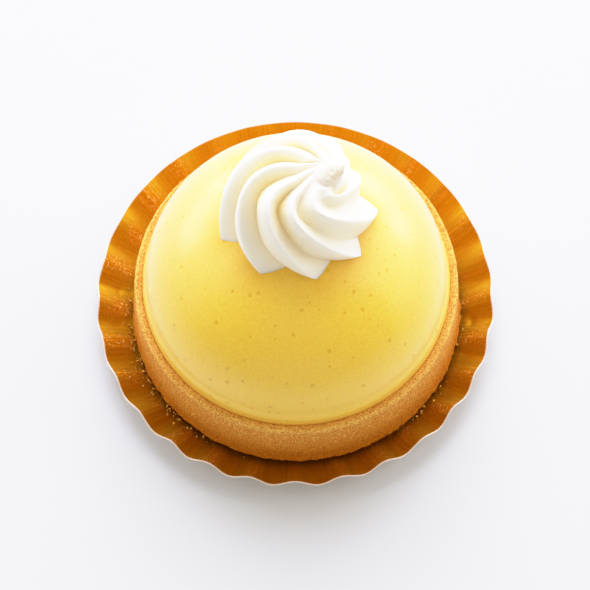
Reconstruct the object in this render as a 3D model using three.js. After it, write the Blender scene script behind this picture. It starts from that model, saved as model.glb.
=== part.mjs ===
// Lemon tartlet: a shortcrust shell with a domed lemon filling and a piped rosette of cream,
// standing on a round card with a fluted, turned-up rim.
// Millimetres, +Z up. The origin is the middle of the card's underside.

import * as THREE from 'three';
import { mergeVertices } from 'three/addons/utils/BufferGeometryUtils.js';

// Gap left between pieces that touch.
const GAP = 0.3;

// Card: a flat disc whose rim rises in even flutes.
const CARD_THICKNESS = 0.5;
const CARD_RADIUS = 48.5;
const CARD_FLAT_RADIUS = 40.0;
const CARD_RIM_RISE = 5.6;
const CARD_RIM_CURVE = 1.25;
const CARD_FLUTES = 28;
const CARD_FLUTE_LIFT = 0.5;
const CARD_FLUTE_PINCH = 0.22;
const CARD_FLUTE_ANGLE = THREE.MathUtils.degToRad(-90.5);
const CARD_SEGMENTS_PER_FLUTE = 6;
const CARD_RIM_STEPS = 5;
const CARD_LOOK = { color: 0xc8860a, roughness: 0.3, metalness: 1 };

// Place of the tart on the card: a little off the middle, towards the front.
const TART_X = 0.35;
const TART_Y = -1.0;
const TART_BASE = CARD_THICKNESS + GAP;
const TURNED_SEGMENTS = 96;

// Pastry shell: an upright wall that leans in slightly. Its top edge is rounded outside and slopes
// down inside.
const SHELL_FOOT_RADIUS = 40.0;
const SHELL_FOOT_ROUND = 0.6;
const SHELL_TOP_RADIUS = 39.1;
const SHELL_HEIGHT = 17.6;
const SHELL_FLOOR = 3.0;
const SHELL_INNER_RADIUS = 37.2;
const SHELL_CREST_ROUND = 0.55;
const SHELL_CREST_STEPS = 3;
const SHELL_BEVEL_DROP = 0.9;
const SHELL_LOOK = { color: 0xc8893c, roughness: 0.85, metalness: 0 };

// Lemon filling: it fills the shell, swells into a low foot over the rim and rises as a dome.
const FOOT_RADIUS = 37.15;
const FOOT_HEIGHT = 19.2;
const FOOT_ROUND = 1.0;
const FOOT_START = THREE.MathUtils.degToRad(-40);
const FOOT_SWEEP = THREE.MathUtils.degToRad(100);
const FOOT_STEPS = 4;
const DOME_RADIUS = 36.3;
const DOME_FLOOR = 20.0;
const DOME_RISE = 28.0;
const DOME_ROUNDNESS = 2.1;
const DOME_STEPS = 13;
const FILLING_LOOK = { color: 0xf0d060, roughness: 0.4, metalness: 0 };

// Cream rosette: one squeeze through a star nozzle, turned as it rises, leaning to one side and
// drawn off in a short tail. A climb is 0 at the foot and 1 at the tail's end.
const ROSETTE_X = 0.27;
const ROSETTE_Y = 6.85;
const ROSETTE_RADIUS = 19.2;
const ROSETTE_HEIGHT = 18.2;
const ROSETTE_SHOULDER = 5.4;
const ROSETTE_CORE = 0.15;
const ROSETTE_LEAN = new THREE.Vector2(7.4, -3.0);
const ROSETTE_LEAN_BEND = 1.45;
const ROSETTE_TURN = THREE.MathUtils.degToRad(123);
const ROSETTE_TURN_EASE = 0.7;
const SWIRL_TURN = THREE.MathUtils.degToRad(110);
const SWIRL_START = 0.7;
const TAIL_LEAN = new THREE.Vector2(4.2, 3.0);
const TAIL_LEAN_START = 0.72;
const TAIL_RISE = 4.0;
const TAIL_RISE_START = 0.83;
const TAIL_RISE_POWER = 0.9;
const ROSETTE_UNDERSIDE_STEPS = 4;
const ROSETTE_WALL_STEPS = 22;
const ROSETTE_WALL_EASE = 1.5;
const ROSETTE_TIP_CLIMB = 0.94;
const ROSETTE_LOOK = { color: 0xfcf8ee, roughness: 0.55, metalness: 0 };

// Ridges of the rosette, in order around it. Each has the angle of its point on the dome, the skew it
// takes just above that point, both in degrees, and its reach outwards. The rest is its groove towards
// the next ridge: notches, the place between the two ridges at each of the notch climbs; fall and
// swell, how full the sides are that go down into it and come up from it; share, its part of the full
// depth; and end, the climb where it runs out.
const NOTCH_CLIMBS = [0, 0.08, 0.3, 0.6];
const RIDGES = [
  {
    degrees: 165, skew: 0, reach: 0.94, notches: [0.40, 0.30, 0.20, 0.20],
    fall: 0.4, swell: 0.3, share: 0.9, end: 0.85,
  },
  {
    degrees: 205, skew: 0, reach: 1.0, notches: [0.28, 0.22, 0.36, 0.42],
    fall: 0.4, swell: 0.3, share: 1.0, end: 0.85,
  },
  {
    degrees: 245, skew: 0, reach: 1.0, notches: [0.45, 0.23, 0.20, 0.43],
    fall: 0.3, swell: 0.6, share: 1.0, end: 0.85,
  },
  {
    degrees: 283, skew: 7, reach: 1.0, notches: [0.43, 0.10, 0.10, 0.30],
    fall: 0.3, swell: 0.2, share: 1.0, end: 0.85,
  },
  {
    degrees: 325, skew: 0, reach: 0.97, notches: [0.27, 0.10, 0.18, 0.22],
    fall: -0.5, swell: -0.3, share: 0.8, end: 0.83,
  },
  {
    degrees: 361, skew: 0, reach: 1.0, notches: [0.28, 0.34, 0.50, 0.52],
    fall: -0.9, swell: -0.3, share: 0.75, end: 0.80,
  },
  {
    degrees: 403, skew: 0, reach: 0.89, notches: [0.40, 0.40, 0.45, 0.50],
    fall: -0.4, swell: -0.3, share: 0.7, end: 0.74,
  },
  {
    degrees: 433, skew: 0, reach: 0.83, notches: [0.45, 0.45, 0.45, 0.50],
    fall: 0, swell: 0, share: 0.5, end: 0.50,
  },
  {
    degrees: 462, skew: 0, reach: 0.97, notches: [0.45, 0.45, 0.45, 0.50],
    fall: 0.3, swell: 0, share: 0.5, end: 0.55,
  },
  {
    degrees: 491, skew: 0, reach: 1.02, notches: [0.45, 0.40, 0.35, 0.35],
    fall: 0.5, swell: 0, share: 0.8, end: 0.75,
  },
];
const COLUMNS_PER_RIDGE = 8;
const SKEW_CLIMB = 0.12;

// Depth of the grooves at the foot and from a little higher up, and the climbs over which they round
// off, deepen and begin to sink into the top.
const GROOVE_FOOT = 3.4;
const GROOVE_HIGH = 3.8;
const GROOVE_DEEP_CLIMB = 0.2;
const GROOVE_FADE = 4;
const FLANK_CURVE = 1.5;
const FLANK_CLIMB = 0.06;
const EDGE_CLIMB = 0.12;

const FULL_TURN = 2 * Math.PI;
const QUARTER_TURN = Math.PI / 2;

const { lerp } = THREE.MathUtils;
const point = (x, y) => new THREE.Vector2(x, y);

// Even steps from 0 to 1, both ends included.
function steps(count) {
  return Array.from({ length: count + 1 }, (_, index) => index / count);
}

// Plain place of a profile point (radius, height) on its ring about +Z.
function onRing(profilePoint, turn) {
  const angle = turn * FULL_TURN;
  const x = profilePoint.x * Math.cos(angle);
  const y = profilePoint.x * Math.sin(angle);
  return new THREE.Vector3(x, y, profilePoint.y);
}

// Closed skin around +Z. The profile runs from the axis below, out and up, to the axis above.
// The place function turns each profile point and part of a turn into a position.
function turned(profile, segments, place = onRing) {
  const skin = new THREE.LatheGeometry(profile, segments);
  const position = skin.getAttribute('position');
  for (let column = 0; column <= segments; column += 1) {
    const turn = (column % segments) / segments;
    profile.forEach((profilePoint, row) => {
      const spot = place(profilePoint, turn);
      position.setXYZ(column * profile.length + row, spot.x, spot.y, spot.z);
    });
  }
  skin.deleteAttribute('normal');
  skin.deleteAttribute('uv');
  const merged = mergeVertices(skin);
  merged.computeVertexNormals();
  return merged;
}

function piece(name, geometry, look) {
  const material = new THREE.MeshStandardMaterial(look);
  const mesh = new THREE.Mesh(geometry, material);
  mesh.name = name;
  return mesh;
}

// Card: the underside runs out to the rim and the top face comes back to the middle.
function cardGeometry() {
  const rimWidth = CARD_RADIUS - CARD_FLAT_RADIUS;
  const underside = steps(CARD_RIM_STEPS).map((out) => (
    point(CARD_FLAT_RADIUS + rimWidth * out, CARD_RIM_RISE * out ** CARD_RIM_CURVE)
  ));
  const top = underside.map((spot) => point(spot.x, spot.y + CARD_THICKNESS)).reverse();
  const profile = [point(0, 0), ...underside, ...top, point(0, CARD_THICKNESS)];
  const fluted = (spot, turn) => {
    const angle = turn * FULL_TURN;
    const out = Math.max(0, (spot.x - CARD_FLAT_RADIUS) / rimWidth);
    const wave = out * Math.cos(CARD_FLUTES * (angle - CARD_FLUTE_ANGLE));
    const radius = spot.x - CARD_FLUTE_PINCH * wave;
    const height = spot.y + CARD_FLUTE_LIFT * wave;
    return onRing(point(radius, height), turn);
  };
  return turned(profile, CARD_FLUTES * CARD_SEGMENTS_PER_FLUTE, fluted);
}

// Shell: outer wall up, over the rounded edge, down the slope and the inside, in along the floor.
function shellGeometry() {
  const crestMiddle = SHELL_TOP_RADIUS - SHELL_CREST_ROUND;
  const crestBase = SHELL_HEIGHT - SHELL_CREST_ROUND;
  const crest = steps(SHELL_CREST_STEPS).map((part) => {
    const angle = QUARTER_TURN * part;
    const x = crestMiddle + SHELL_CREST_ROUND * Math.cos(angle);
    const y = crestBase + SHELL_CREST_ROUND * Math.sin(angle);
    return point(x, y);
  });
  const profile = [
    point(0, 0),
    point(SHELL_FOOT_RADIUS - SHELL_FOOT_ROUND, 0),
    point(SHELL_FOOT_RADIUS, SHELL_FOOT_ROUND),
    ...crest,
    point(SHELL_INNER_RADIUS, SHELL_HEIGHT - SHELL_BEVEL_DROP),
    point(SHELL_INNER_RADIUS, SHELL_FLOOR),
    point(0, SHELL_FLOOR),
  ];
  return turned(profile, TURNED_SEGMENTS);
}

// Height of the dome's surface above the card's underside, at a distance from the tart's axis.
function domeHeight(distance) {
  const inner = 1 - Math.min(1, distance / DOME_RADIUS) ** DOME_ROUNDNESS;
  return DOME_FLOOR + DOME_RISE * inner ** (1 / DOME_ROUNDNESS);
}

// Filling: the plug in the shell, the rounded foot over the rim, then the dome up to its top.
function fillingGeometry() {
  const plugRadius = SHELL_INNER_RADIUS - GAP;
  const plugTop = TART_BASE + SHELL_HEIGHT - SHELL_BEVEL_DROP;
  const footMiddle = FOOT_RADIUS - FOOT_ROUND;
  const foot = steps(FOOT_STEPS).map((part) => {
    const angle = FOOT_START + part * FOOT_SWEEP;
    return point(footMiddle + FOOT_ROUND * Math.cos(angle), FOOT_HEIGHT + FOOT_ROUND * Math.sin(angle));
  });
  const dome = steps(DOME_STEPS).slice(0, -1).map((part) => {
    const angle = part * QUARTER_TURN;
    const radius = (DOME_RADIUS - GAP) * Math.cos(angle);
    return point(radius, domeHeight(radius));
  });
  const profile = [
    point(0, TART_BASE + SHELL_FLOOR + GAP),
    point(plugRadius, TART_BASE + SHELL_FLOOR + GAP),
    point(plugRadius, plugTop),
    ...foot,
    ...dome,
    point(0, domeHeight(0)),
  ];
  return turned(profile, TURNED_SEGMENTS);
}

// How far a climb has come on its way from a start to an end: 0 before it and 1 after it.
function share(climb, start, end) {
  return THREE.MathUtils.clamp((climb - start) / (end - start), 0, 1);
}

// Value at a place along straight runs between stops, the first of them at 0.
function along(stops, values, place) {
  const next = stops.findIndex((stop) => stop > place);
  if (next < 0) return values.at(-1);
  return lerp(values[next - 1], values[next], share(place, stops[next - 1], stops[next]));
}

// Rosette: the underside follows the dome, and the star shrinks, turns and leans as it climbs.
// Grooves are cut square to the surface. In its profile x is the part of the star's radius and
// y is the climb.
function rosetteGeometry() {
  const underside = steps(ROSETTE_UNDERSIDE_STEPS).map((part) => point(part, 0));
  const wall = steps(ROSETTE_WALL_STEPS).slice(1).map((part) => (
    point(1, ROSETTE_TIP_CLIMB * part ** ROSETTE_WALL_EASE)
  ));
  const profile = [...underside, ...wall, point(0, 1)];
  const piped = ({ x: spread, y: climb }, turn) => {
    const place = turn * RIDGES.length;
    const index = Math.floor(place);
    const ridge = RIDGES[index];
    const next = RIDGES[(index + 1) % RIDGES.length];
    const half = 2 * (place - index);
    const falling = half < 1;
    const notch = along(NOTCH_CLIMBS, ridge.notches, climb);
    const between = falling ? half * notch : notch + (half - 1) * (1 - notch);

    const near = falling ? half : 2 - half;
    const full = (falling ? ridge.fall : ridge.swell) / 2;
    const rounded = 1 - (1 - near ** (FLANK_CURVE + full)) ** (FLANK_CURVE - full);
    const dip = lerp(near, rounded, share(climb, 0, FLANK_CLIMB));
    const depth = lerp(GROOVE_FOOT, ridge.share * GROOVE_HIGH, share(climb, 0, GROOVE_DEEP_CLIMB));
    const groove = depth * dip * Math.max(0, 1 - (climb / ridge.end) ** GROOVE_FADE);

    const left = 1 - climb;
    const body = ROSETTE_HEIGHT * (1 - left ** ROSETTE_SHOULDER);
    const slope = ROSETTE_HEIGHT * ROSETTE_SHOULDER * left ** (ROSETTE_SHOULDER - 1);
    const steep = Math.hypot(slope, ROSETTE_RADIUS);
    const inwards = (groove * slope) / steep;
    const downwards = ((groove * ROSETTE_RADIUS) / steep) * share(climb, 0, EDGE_CLIMB);
    const reach = 1 + (lerp(ridge.reach, next.reach, between) - 1) * left;
    const star = ROSETTE_RADIUS * left;
    const radius = spread * Math.max(star * reach - inwards, star * ROSETTE_CORE);

    const skewed = 1 - (1 - share(climb, 0, SKEW_CLIMB)) ** 2;
    const wrap = index + 1 < RIDGES.length ? 0 : 360;
    const from = ridge.degrees + ridge.skew * skewed;
    const to = next.degrees + next.skew * skewed + wrap;
    const foot = THREE.MathUtils.degToRad(lerp(from, to, between));
    const swirl = SWIRL_TURN * share(climb, SWIRL_START, 1) ** 2;
    const angle = foot - ROSETTE_TURN * climb ** ROSETTE_TURN_EASE - swirl;
    const middle = point(ROSETTE_X, ROSETTE_Y)
      .addScaledVector(ROSETTE_LEAN, climb ** ROSETTE_LEAN_BEND)
      .addScaledVector(TAIL_LEAN, share(climb, TAIL_LEAN_START, 1));
    const x = middle.x + radius * Math.cos(angle);
    const y = middle.y + radius * Math.sin(angle);
    const tail = TAIL_RISE * share(climb, TAIL_RISE_START, 1) ** TAIL_RISE_POWER;
    return new THREE.Vector3(x, y, domeHeight(Math.hypot(x, y)) + GAP + body + tail - downwards);
  };
  return turned(profile, RIDGES.length * COLUMNS_PER_RIDGE, piped);
}

const shell = piece('pastry_shell', shellGeometry(), SHELL_LOOK);
shell.position.z = TART_BASE;

const tart = new THREE.Group();
tart.position.set(TART_X, TART_Y, 0);
tart.add(shell);
tart.add(piece('lemon_filling', fillingGeometry(), FILLING_LOOK));
tart.add(piece('cream_rosette', rosetteGeometry(), ROSETTE_LOOK));

const tartlet = new THREE.Group();
tartlet.add(piece('gold_card', cardGeometry(), CARD_LOOK));
tartlet.add(tart);

export default tartlet;
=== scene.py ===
# %% [markdown]
# A lemon tartlet on its gold card
#
# The real thing is four pieces: a fluted card with a gold face, a baked shortcrust shell, a lemon
# filling set as a smooth dome, and a rosette of cream piped on top. The construction is already
# there as solids in a shared frame. This lesson keeps every piece where the frame has it and gives
# it the surface that the eye expects: foil, crumb, set cream and whipped cream.

# %% Load the frame
import math

import bpy
import numpy as np
from mathutils import Color, Matrix, Vector, noise


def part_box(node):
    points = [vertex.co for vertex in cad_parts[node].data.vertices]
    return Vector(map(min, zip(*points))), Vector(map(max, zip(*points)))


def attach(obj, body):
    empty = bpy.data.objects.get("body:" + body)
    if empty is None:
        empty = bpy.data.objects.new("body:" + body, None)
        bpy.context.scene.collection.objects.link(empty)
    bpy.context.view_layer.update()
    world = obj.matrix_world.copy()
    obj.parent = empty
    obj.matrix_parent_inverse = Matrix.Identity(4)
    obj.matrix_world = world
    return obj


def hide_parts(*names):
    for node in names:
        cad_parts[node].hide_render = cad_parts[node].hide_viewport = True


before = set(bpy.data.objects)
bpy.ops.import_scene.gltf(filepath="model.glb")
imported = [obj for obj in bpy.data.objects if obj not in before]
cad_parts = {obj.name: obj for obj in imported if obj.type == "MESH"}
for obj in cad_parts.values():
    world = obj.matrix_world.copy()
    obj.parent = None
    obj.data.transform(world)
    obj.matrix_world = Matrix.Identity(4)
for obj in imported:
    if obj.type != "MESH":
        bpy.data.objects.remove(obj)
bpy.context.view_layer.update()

MM = 0.001
print("nodes:", sorted(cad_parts))

# %% [markdown]
# Before anything is shaped, the sizes are read from the frame. The shell's box gives the tart's axis,
# its foot and its top edge, and the filling's box gives the bottom of the filling and the top of the
# dome. They could be typed in again, but then a change to the solids would leave the looks behind.

# %% Sizes read from the frame
shell_low, shell_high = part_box("pastry_shell")
filling_low, filling_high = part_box("lemon_filling")

tart_x = (shell_low.x + shell_high.x) / 2
tart_y = (shell_low.y + shell_high.y) / 2
shell_foot = (shell_high.x - shell_low.x) / 2
shell_base = shell_low.z
shell_top = shell_high.z
dome_top = filling_high.z
print("tart axis in mm:", round(tart_x / MM, 2), round(tart_y / MM, 2))
print("shell foot and top in mm:", round(shell_foot / MM, 2), round(shell_top / MM, 2))

# %% [markdown]
# The camera looks down steeply from the front, through a long lens, so that the rings look almost
# like plain ellipses. It aims at a point on the table just behind the tart's axis, and it is turned
# by about a degree, as a camera held in the hand is. A constraint could aim it, but one matrix holds
# the angle, the distance and the turn.

# %% Camera
VIEW_DOWN = math.radians(66.5)
VIEW_DISTANCE = 700 * MM
VIEW_AIM = Vector((0.0, 3.34 * MM, 0.0))
VIEW_TURN = math.radians(-0.93)
VIEW_LENS = 172.0
SENSOR_WIDTH = 36.0

lens = bpy.data.cameras.new("camera")
lens.lens = VIEW_LENS
lens.sensor_width = SENSOR_WIDTH
camera = bpy.data.objects.new("camera", lens)
bpy.context.collection.objects.link(camera)
towards_camera = Vector((0, -math.cos(VIEW_DOWN), math.sin(VIEW_DOWN)))
standpoint = Matrix.Translation(VIEW_AIM + towards_camera * VIEW_DISTANCE)
look = (-towards_camera).to_track_quat("-Z", "Y").to_matrix().to_4x4()
camera.matrix_world = standpoint @ look @ Matrix.Rotation(VIEW_TURN, 4, "Z")
bpy.context.scene.camera = camera
print("camera at", [round(value, 3) for value in camera.location])

# %% [markdown]
# Pastry is photographed in a bright room, and its whites roll off softly instead of clipping. A film
# look would do that too, but it dulls whites and yellows. So the plain view gets a tone curve, which
# follows the light up to a shoulder and then bends slowly towards white. The room itself glows evenly
# and a little warm, which fills the shadows.

# %% Room and tone curve
SHOULDER = 0.7
BRIGHTEST = 2.0
CURVE_POINTS = 13
CURVE_MARGIN = 0.1
COMBINED_CURVE = 3
ROOM_GLOW = 0.54
WARM_ROOM = (1.0, 0.955, 0.85, 1.0)

scene = bpy.context.scene
scene.view_settings.view_transform = "Standard"
scene.view_settings.use_curve_mapping = True
film = scene.view_settings.curve_mapping
film.white_level = (BRIGHTEST,) * 3
for light in np.linspace(CURVE_MARGIN, BRIGHTEST - CURVE_MARGIN, CURVE_POINTS):
    over = max(0.0, light - SHOULDER) / (1 - SHOULDER)
    shown = min(light, SHOULDER) + (1 - SHOULDER) * (1 - math.exp(-over))
    film.curves[COMBINED_CURVE].points.new(light / BRIGHTEST, shown)
film.update()
scene.world = bpy.data.worlds.new("room")
scene.world.use_nodes = True
backdrop = scene.world.node_tree.nodes["Background"]
backdrop.inputs["Color"].default_value = WARM_ROOM
backdrop.inputs["Strength"].default_value = ROOM_GLOW
print("tone curve bends from", SHOULDER, "and the room glows at", ROOM_GLOW)

# %% [markdown]
# The main light comes from windows behind the tart, so that the shadow falls towards the viewer and
# stays short and soft. Large panels stand in for them: three rows behind, one at each back corner,
# two on each side and two weak ones in front. One big lamp would light the cream as well, but foil
# mirrors its lamps, and several panels give it broad, soft glints. Each row below holds a
# panel's place, its width and height, and how bright it looks. The windows are slightly cool.

# %% Lamps
COOL_WINDOW = (0.95, 0.98, 1.20)
LAMPS = {
    "behind_high": ((0.0, 0.90, 1.00), (1.2, 0.6), 5.9),
    "behind": ((0.0, 1.15, 0.70), (1.2, 0.5), 4.5),
    "behind_low": ((0.0, 1.30, 0.35), (1.8, 0.45), 2.6),
    "behind_left": ((-0.95, 0.95, 0.36), (1.0, 0.5), 4.4),
    "behind_right": ((0.95, 0.95, 0.36), (1.0, 0.5), 4.9),
    "left": ((-0.95, 0.20, 0.90), (0.7, 0.7), 0.85),
    "right": ((0.95, 0.20, 0.90), (0.7, 0.7), 1.7),
    "left_low": ((-1.25, 0.20, 0.35), (1.2, 0.45), 0.8),
    "right_low": ((1.25, 0.20, 0.35), (1.2, 0.45), 1.6),
    "front": ((0.0, -0.70, 1.10), (1.0, 0.6), 0.35),
    "front_low": ((0.0, -1.25, 0.35), (1.4, 0.45), 0.5),
}

for name, (spot, size, brightness) in LAMPS.items():
    panel = bpy.data.lights.new("lamp_" + name, "AREA")
    panel.shape = "RECTANGLE"
    panel.size, panel.size_y = size
    panel.energy = math.pi * size[0] * size[1] * brightness
    if name.startswith("behind"):
        panel.color = COOL_WINDOW
    lamp = bpy.data.objects.new("lamp_" + name, panel)
    bpy.context.collection.objects.link(lamp)
    lamp.location = spot
    lamp.rotation_euler = (-Vector(spot)).to_track_quat("-Z", "Y").to_euler()
    lamp.visible_camera = False
print("lamps:", list(LAMPS))

# %% [markdown]
# Materials are small trees of nodes. They could be drawn by hand in the shader editor, but written
# out they can be read and changed in one place. One helper adds a node and fills its sockets, either
# with a number or with another node's output, so that a tree reads from top to bottom. Colours are
# given as they look on a screen, from 0 to 255, and turned into the linear values that light needs.

# %% Helpers for materials
SCREEN_WHITE = 255


def seen(red, green, blue):
    """Linear colour for a colour as seen on a screen."""
    screen = Color((red / SCREEN_WHITE, green / SCREEN_WHITE, blue / SCREEN_WHITE))
    return (*screen.from_srgb_to_scene_linear(), 1.0)


def add(tree, kind, inputs=None, **settings):
    """New node. An input takes a value or another node's output."""
    made = tree.nodes.new(kind)
    for name, value in settings.items():
        setattr(made, name, value)
    for name, value in (inputs or {}).items():
        if isinstance(value, bpy.types.NodeSocket):
            tree.links.new(value, made.inputs[name])
        else:
            made.inputs[name].default_value = value
    return made


def fresh_material(name):
    """Empty material with a surface shader, its tree and its object coordinates."""
    material = bpy.data.materials.new(name)
    material.use_nodes = True
    tree = material.node_tree
    shader = tree.nodes["Principled BSDF"]
    place = add(tree, "ShaderNodeTexCoord").outputs["Object"]
    return material, tree, shader, place


def set_even(shader, **values):
    """Set what is the same all over the surface. A socket's name has _ for each space."""
    for name, value in values.items():
        shader.inputs[name.replace("_", " ")].default_value = value


print("material helpers ready")

# %% [markdown]
# The tart stands on a plain white table. A sheet that bends up behind it would do as well, but the
# camera looks down, so a flat one is all that it sees. The table is matt and very slightly cool.

# %% Table
TABLE_SIZE = 30.0
TABLE_WHITE = (0.70, 0.71, 0.725, 1.0)

half = TABLE_SIZE / 2
corners = [(-half, -half, 0), (half, -half, 0), (half, half, 0), (-half, half, 0)]
table_mesh = bpy.data.meshes.new("table")
table_mesh.from_pydata(corners, [], [(0, 1, 2, 3)])
table = bpy.data.objects.new("table", table_mesh)
bpy.context.collection.objects.link(table)
white, _, shader, _ = fresh_material("white_table")
set_even(shader, Base_Color=TABLE_WHITE, Roughness=0.9, Specular_IOR_Level=0.1)
table_mesh.materials.append(white)
print("table is", TABLE_SIZE, "m wide")

# %% [markdown]
# Each of the four pieces is a skin of rings around an upright axis, so one helper turns a grid of
# points, rows of rings, into a closed mesh. A lathe or a Screw modifier would also make such skins,
# but a grid keeps each row and column known, which the flutes, the sandy crust and the piped ridges
# all need. A second helper stores a number at each point.

# %% Helpers for rings


def circle(count):
    """Angles of evenly spaced columns, once around."""
    return np.linspace(0, 2 * math.pi, count, endpoint=False)


def skin(name, grid, first, last, row_finish=None):
    """Closed mesh from rings, with one point closing each end."""
    rows, columns, _ = grid.shape
    points = np.vstack([grid.reshape(-1, 3), [first], [last]])
    index = np.arange(rows * columns).reshape(rows, columns)
    beside = np.roll(index, -1, axis=1)
    quads = np.stack([index[:-1], beside[:-1], beside[1:], index[1:]], -1).reshape(-1, 4)
    low, high = rows * columns, rows * columns + 1
    start = [(low, b, a) for a, b in zip(index[0], beside[0])]
    end = [(high, a, b) for a, b in zip(index[-1], beside[-1])]
    mesh = bpy.data.meshes.new(name)
    mesh.from_pydata(points.tolist(), [], quads.tolist() + start + end)
    mesh.shade_smooth()
    if row_finish is not None:
        of_quads = np.repeat(row_finish, columns)
        of_caps = [row_finish[0]] * columns + [row_finish[-1]] * columns
        mesh.polygons.foreach_set("material_index", [*map(int, of_quads), *map(int, of_caps)])
    piece = bpy.data.objects.new(name, mesh)
    bpy.context.collection.objects.link(piece)
    return piece


def paint(piece, name, grid_values, first, last):
    """Store one number per point, for a material to read."""
    layer = piece.data.attributes.new(name, "FLOAT", "POINT")
    layer.data.foreach_set("value", np.append(np.ravel(grid_values), [first, last]))


print("ring helpers ready")

# %% [markdown]
# Nothing made by hand is quite even, so most shapes here get some noise. A Displace modifier with a
# noise texture could add it, but the same noise also has to shift a wave and steer a colour. So one
# helper asks Blender's own noise for a smooth value at each point, the same in every run.

# %% Noise for shapes
NOISE_ORIGIN = Vector((17.3, 5.1, 9.7))
NOISE_FADE = 1.0
NOISE_STEP = 2.0


def rough(points, size, octaves=2.0):
    """Smooth noise from about -1 to 1 at each point, with lumps of that size."""
    flat = points.reshape(-1, 3) / size
    values = [noise.fractal(Vector(p) + NOISE_ORIGIN, NOISE_FADE, NOISE_STEP, octaves) for p in flat]
    return np.array(values).reshape(points.shape[:-1])


print("noise helper ready")

# %% [markdown]
# The card is thin board with gold foil on its upper face, pressed so that the rim turns up in flutes.
# On the real card no two flutes are quite alike: the height of a wave and its place both wander, the
# rear ones are flatter, and some valleys keep a short crease where the board buckled. A wave around
# the rim, its size and place shifted by noise, gives that without drawing each flute. The function
# also marks the ridges, for wear and for painted glints, most at the two sides, where light catches
# the flutes.

# %% Card face
CARD_BOARD = 0.5 * MM
CARD_RADIUS = 48.5 * MM
CARD_FLAT = 40.0 * MM
CARD_RISE = 5.6 * MM
CARD_CURVE = 1.25
FLUTES = 28
FLUTE_LIFT = 0.72 * MM
FLUTE_PINCH = 0.30 * MM
FLUTE_START = math.radians(-90.5)
FLUTE_WANDER = 0.35
PLACE_LUMPS = 0.35
SIZE_LUMPS = 0.25
REAR_FADE = 0.6
RIDGE_START = 0.2
LEAST_WEAR = 0.25
PLEAT_WIDTH = 0.9 * MM
PLEAT_STRETCH = 0.15
PLEAT_DEPTH = 0.04 * MM
CREASE_DEPTH = 0.25 * MM
CREASE_PLACE = 0.42
CREASE_WIDTH = 0.10
VALLEY_START = 0.3
LARGE_FLUTE = 0.95
LARGE_FLUTE_GAIN = 3
NOISE_APART = 3.0


def card_face(out, angles, lift):
    """One face of the card and its ridges. Out is 0 where the rim begins and 1 at its edge."""
    on_circle = np.stack([np.cos(angles), np.sin(angles), np.zeros_like(angles)], -1)
    phase = FLUTES * (angles - FLUTE_START) + FLUTE_WANDER * rough(on_circle, PLACE_LUMPS)
    pressed = 1 - REAR_FADE * np.clip(np.sin(angles), 0, 1)
    size = pressed * (1 + FLUTE_WANDER * rough(on_circle + NOISE_APART, SIZE_LUMPS))
    rim = np.clip(out, 0, None)[:, None]
    wave = rim * (size * np.cos(phase))[None, :]
    # Painted glints: the ridges are marked most at the two sides, where light catches the flutes; the
    # same mark also drives the wear.
    worn = LEAST_WEAR + (1 - LEAST_WEAR) * np.abs(np.cos(angles))
    crest = worn * np.clip((1 + np.cos(phase)) / 2, 0, 1) ** 2
    ridge = crest[None, :] * np.clip(rim / RIDGE_START, 0, 1)
    radius = CARD_FLAT + (CARD_RADIUS - CARD_FLAT) * out[:, None] - FLUTE_PINCH * wave
    streak = np.broadcast_to(CARD_RADIUS * on_circle, (len(out), len(angles), 3)).copy()
    streak[..., 2] = PLEAT_STRETCH * radius
    pleat = PLEAT_DEPTH * ridge * rough(streak, PLEAT_WIDTH)
    buckled = np.clip(LARGE_FLUTE_GAIN * (size - LARGE_FLUTE), 0, 1)
    valley = np.clip(-np.cos(phase) - VALLEY_START, 0, 1) * buckled
    crease = CREASE_DEPTH * valley[None, :] * np.exp(-((rim - CREASE_PLACE) / CREASE_WIDTH) ** 2)
    height = CARD_RISE * rim ** CARD_CURVE + FLUTE_LIFT * wave + pleat - crease + lift
    return np.stack([radius * np.cos(angles), radius * np.sin(angles), height], -1), ridge


print("card has", FLUTES, "flutes,", round(2 * math.pi * CARD_RADIUS / FLUTES / MM, 1), "mm apart")

# %% [markdown]
# As a solid sheet the card is closed all round: the underside from the middle outwards, the cut edge,
# and the foil face back to the middle. A Solidify modifier could thicken one face, but here the foil
# face needs many more rows than the underside, and the cut edge is soft, not square. Rows are counted
# from 0, where the rim begins, to 1 at its edge, so the two in the flat middle are far below 0.

# %% Card mesh
CARD_COLUMNS = FLUTES * 40
FLAT_ROWS = [-4.4, -2.5]
RIM_BEGIN = -0.1
UNDER_ROWS = 12
FOIL_ROWS = 46
EDGE_TURN = [(0.10 * MM, 0.12 * MM), (0.16 * MM, 0.30 * MM), (0.10 * MM, 0.46 * MM)]
FOIL, BOARD = 0, 1

angles = circle(CARD_COLUMNS)
under_rows = np.concatenate([FLAT_ROWS, np.linspace(RIM_BEGIN, 1.0, UNDER_ROWS)])
upper_rows = np.concatenate([np.linspace(1.0, RIM_BEGIN, FOIL_ROWS), FLAT_ROWS[::-1]])
under_face, under_ridge = card_face(under_rows, angles, 0.0)
upper_face, upper_ridge = card_face(upper_rows, angles, CARD_BOARD)
cut_edge = []
for out, up in EDGE_TURN:
    wider = 1 + out / CARD_RADIUS
    ring = under_face[-1] * (wider, wider, 1)
    ring[:, 2] = under_face[-1][:, 2] + up
    cut_edge.append(ring)
card_grid = np.concatenate([under_face, cut_edge, upper_face])
board_rows = len(under_rows) + len(EDGE_TURN) + 1
row_finish = [BOARD] * board_rows + [FOIL] * (len(card_grid) - 1 - board_rows)
card = skin("fluted_card", card_grid, (0, 0, 0), (0, 0, CARD_BOARD), row_finish)
edge_ridge = np.repeat(under_ridge[-1:], len(EDGE_TURN), 0)
paint(card, "ridge", np.concatenate([under_ridge, edge_ridge, upper_ridge]), 0.0, 0.0)
print("card rim in mm:", round(card_grid[..., 2].max() / MM, 2))

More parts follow.
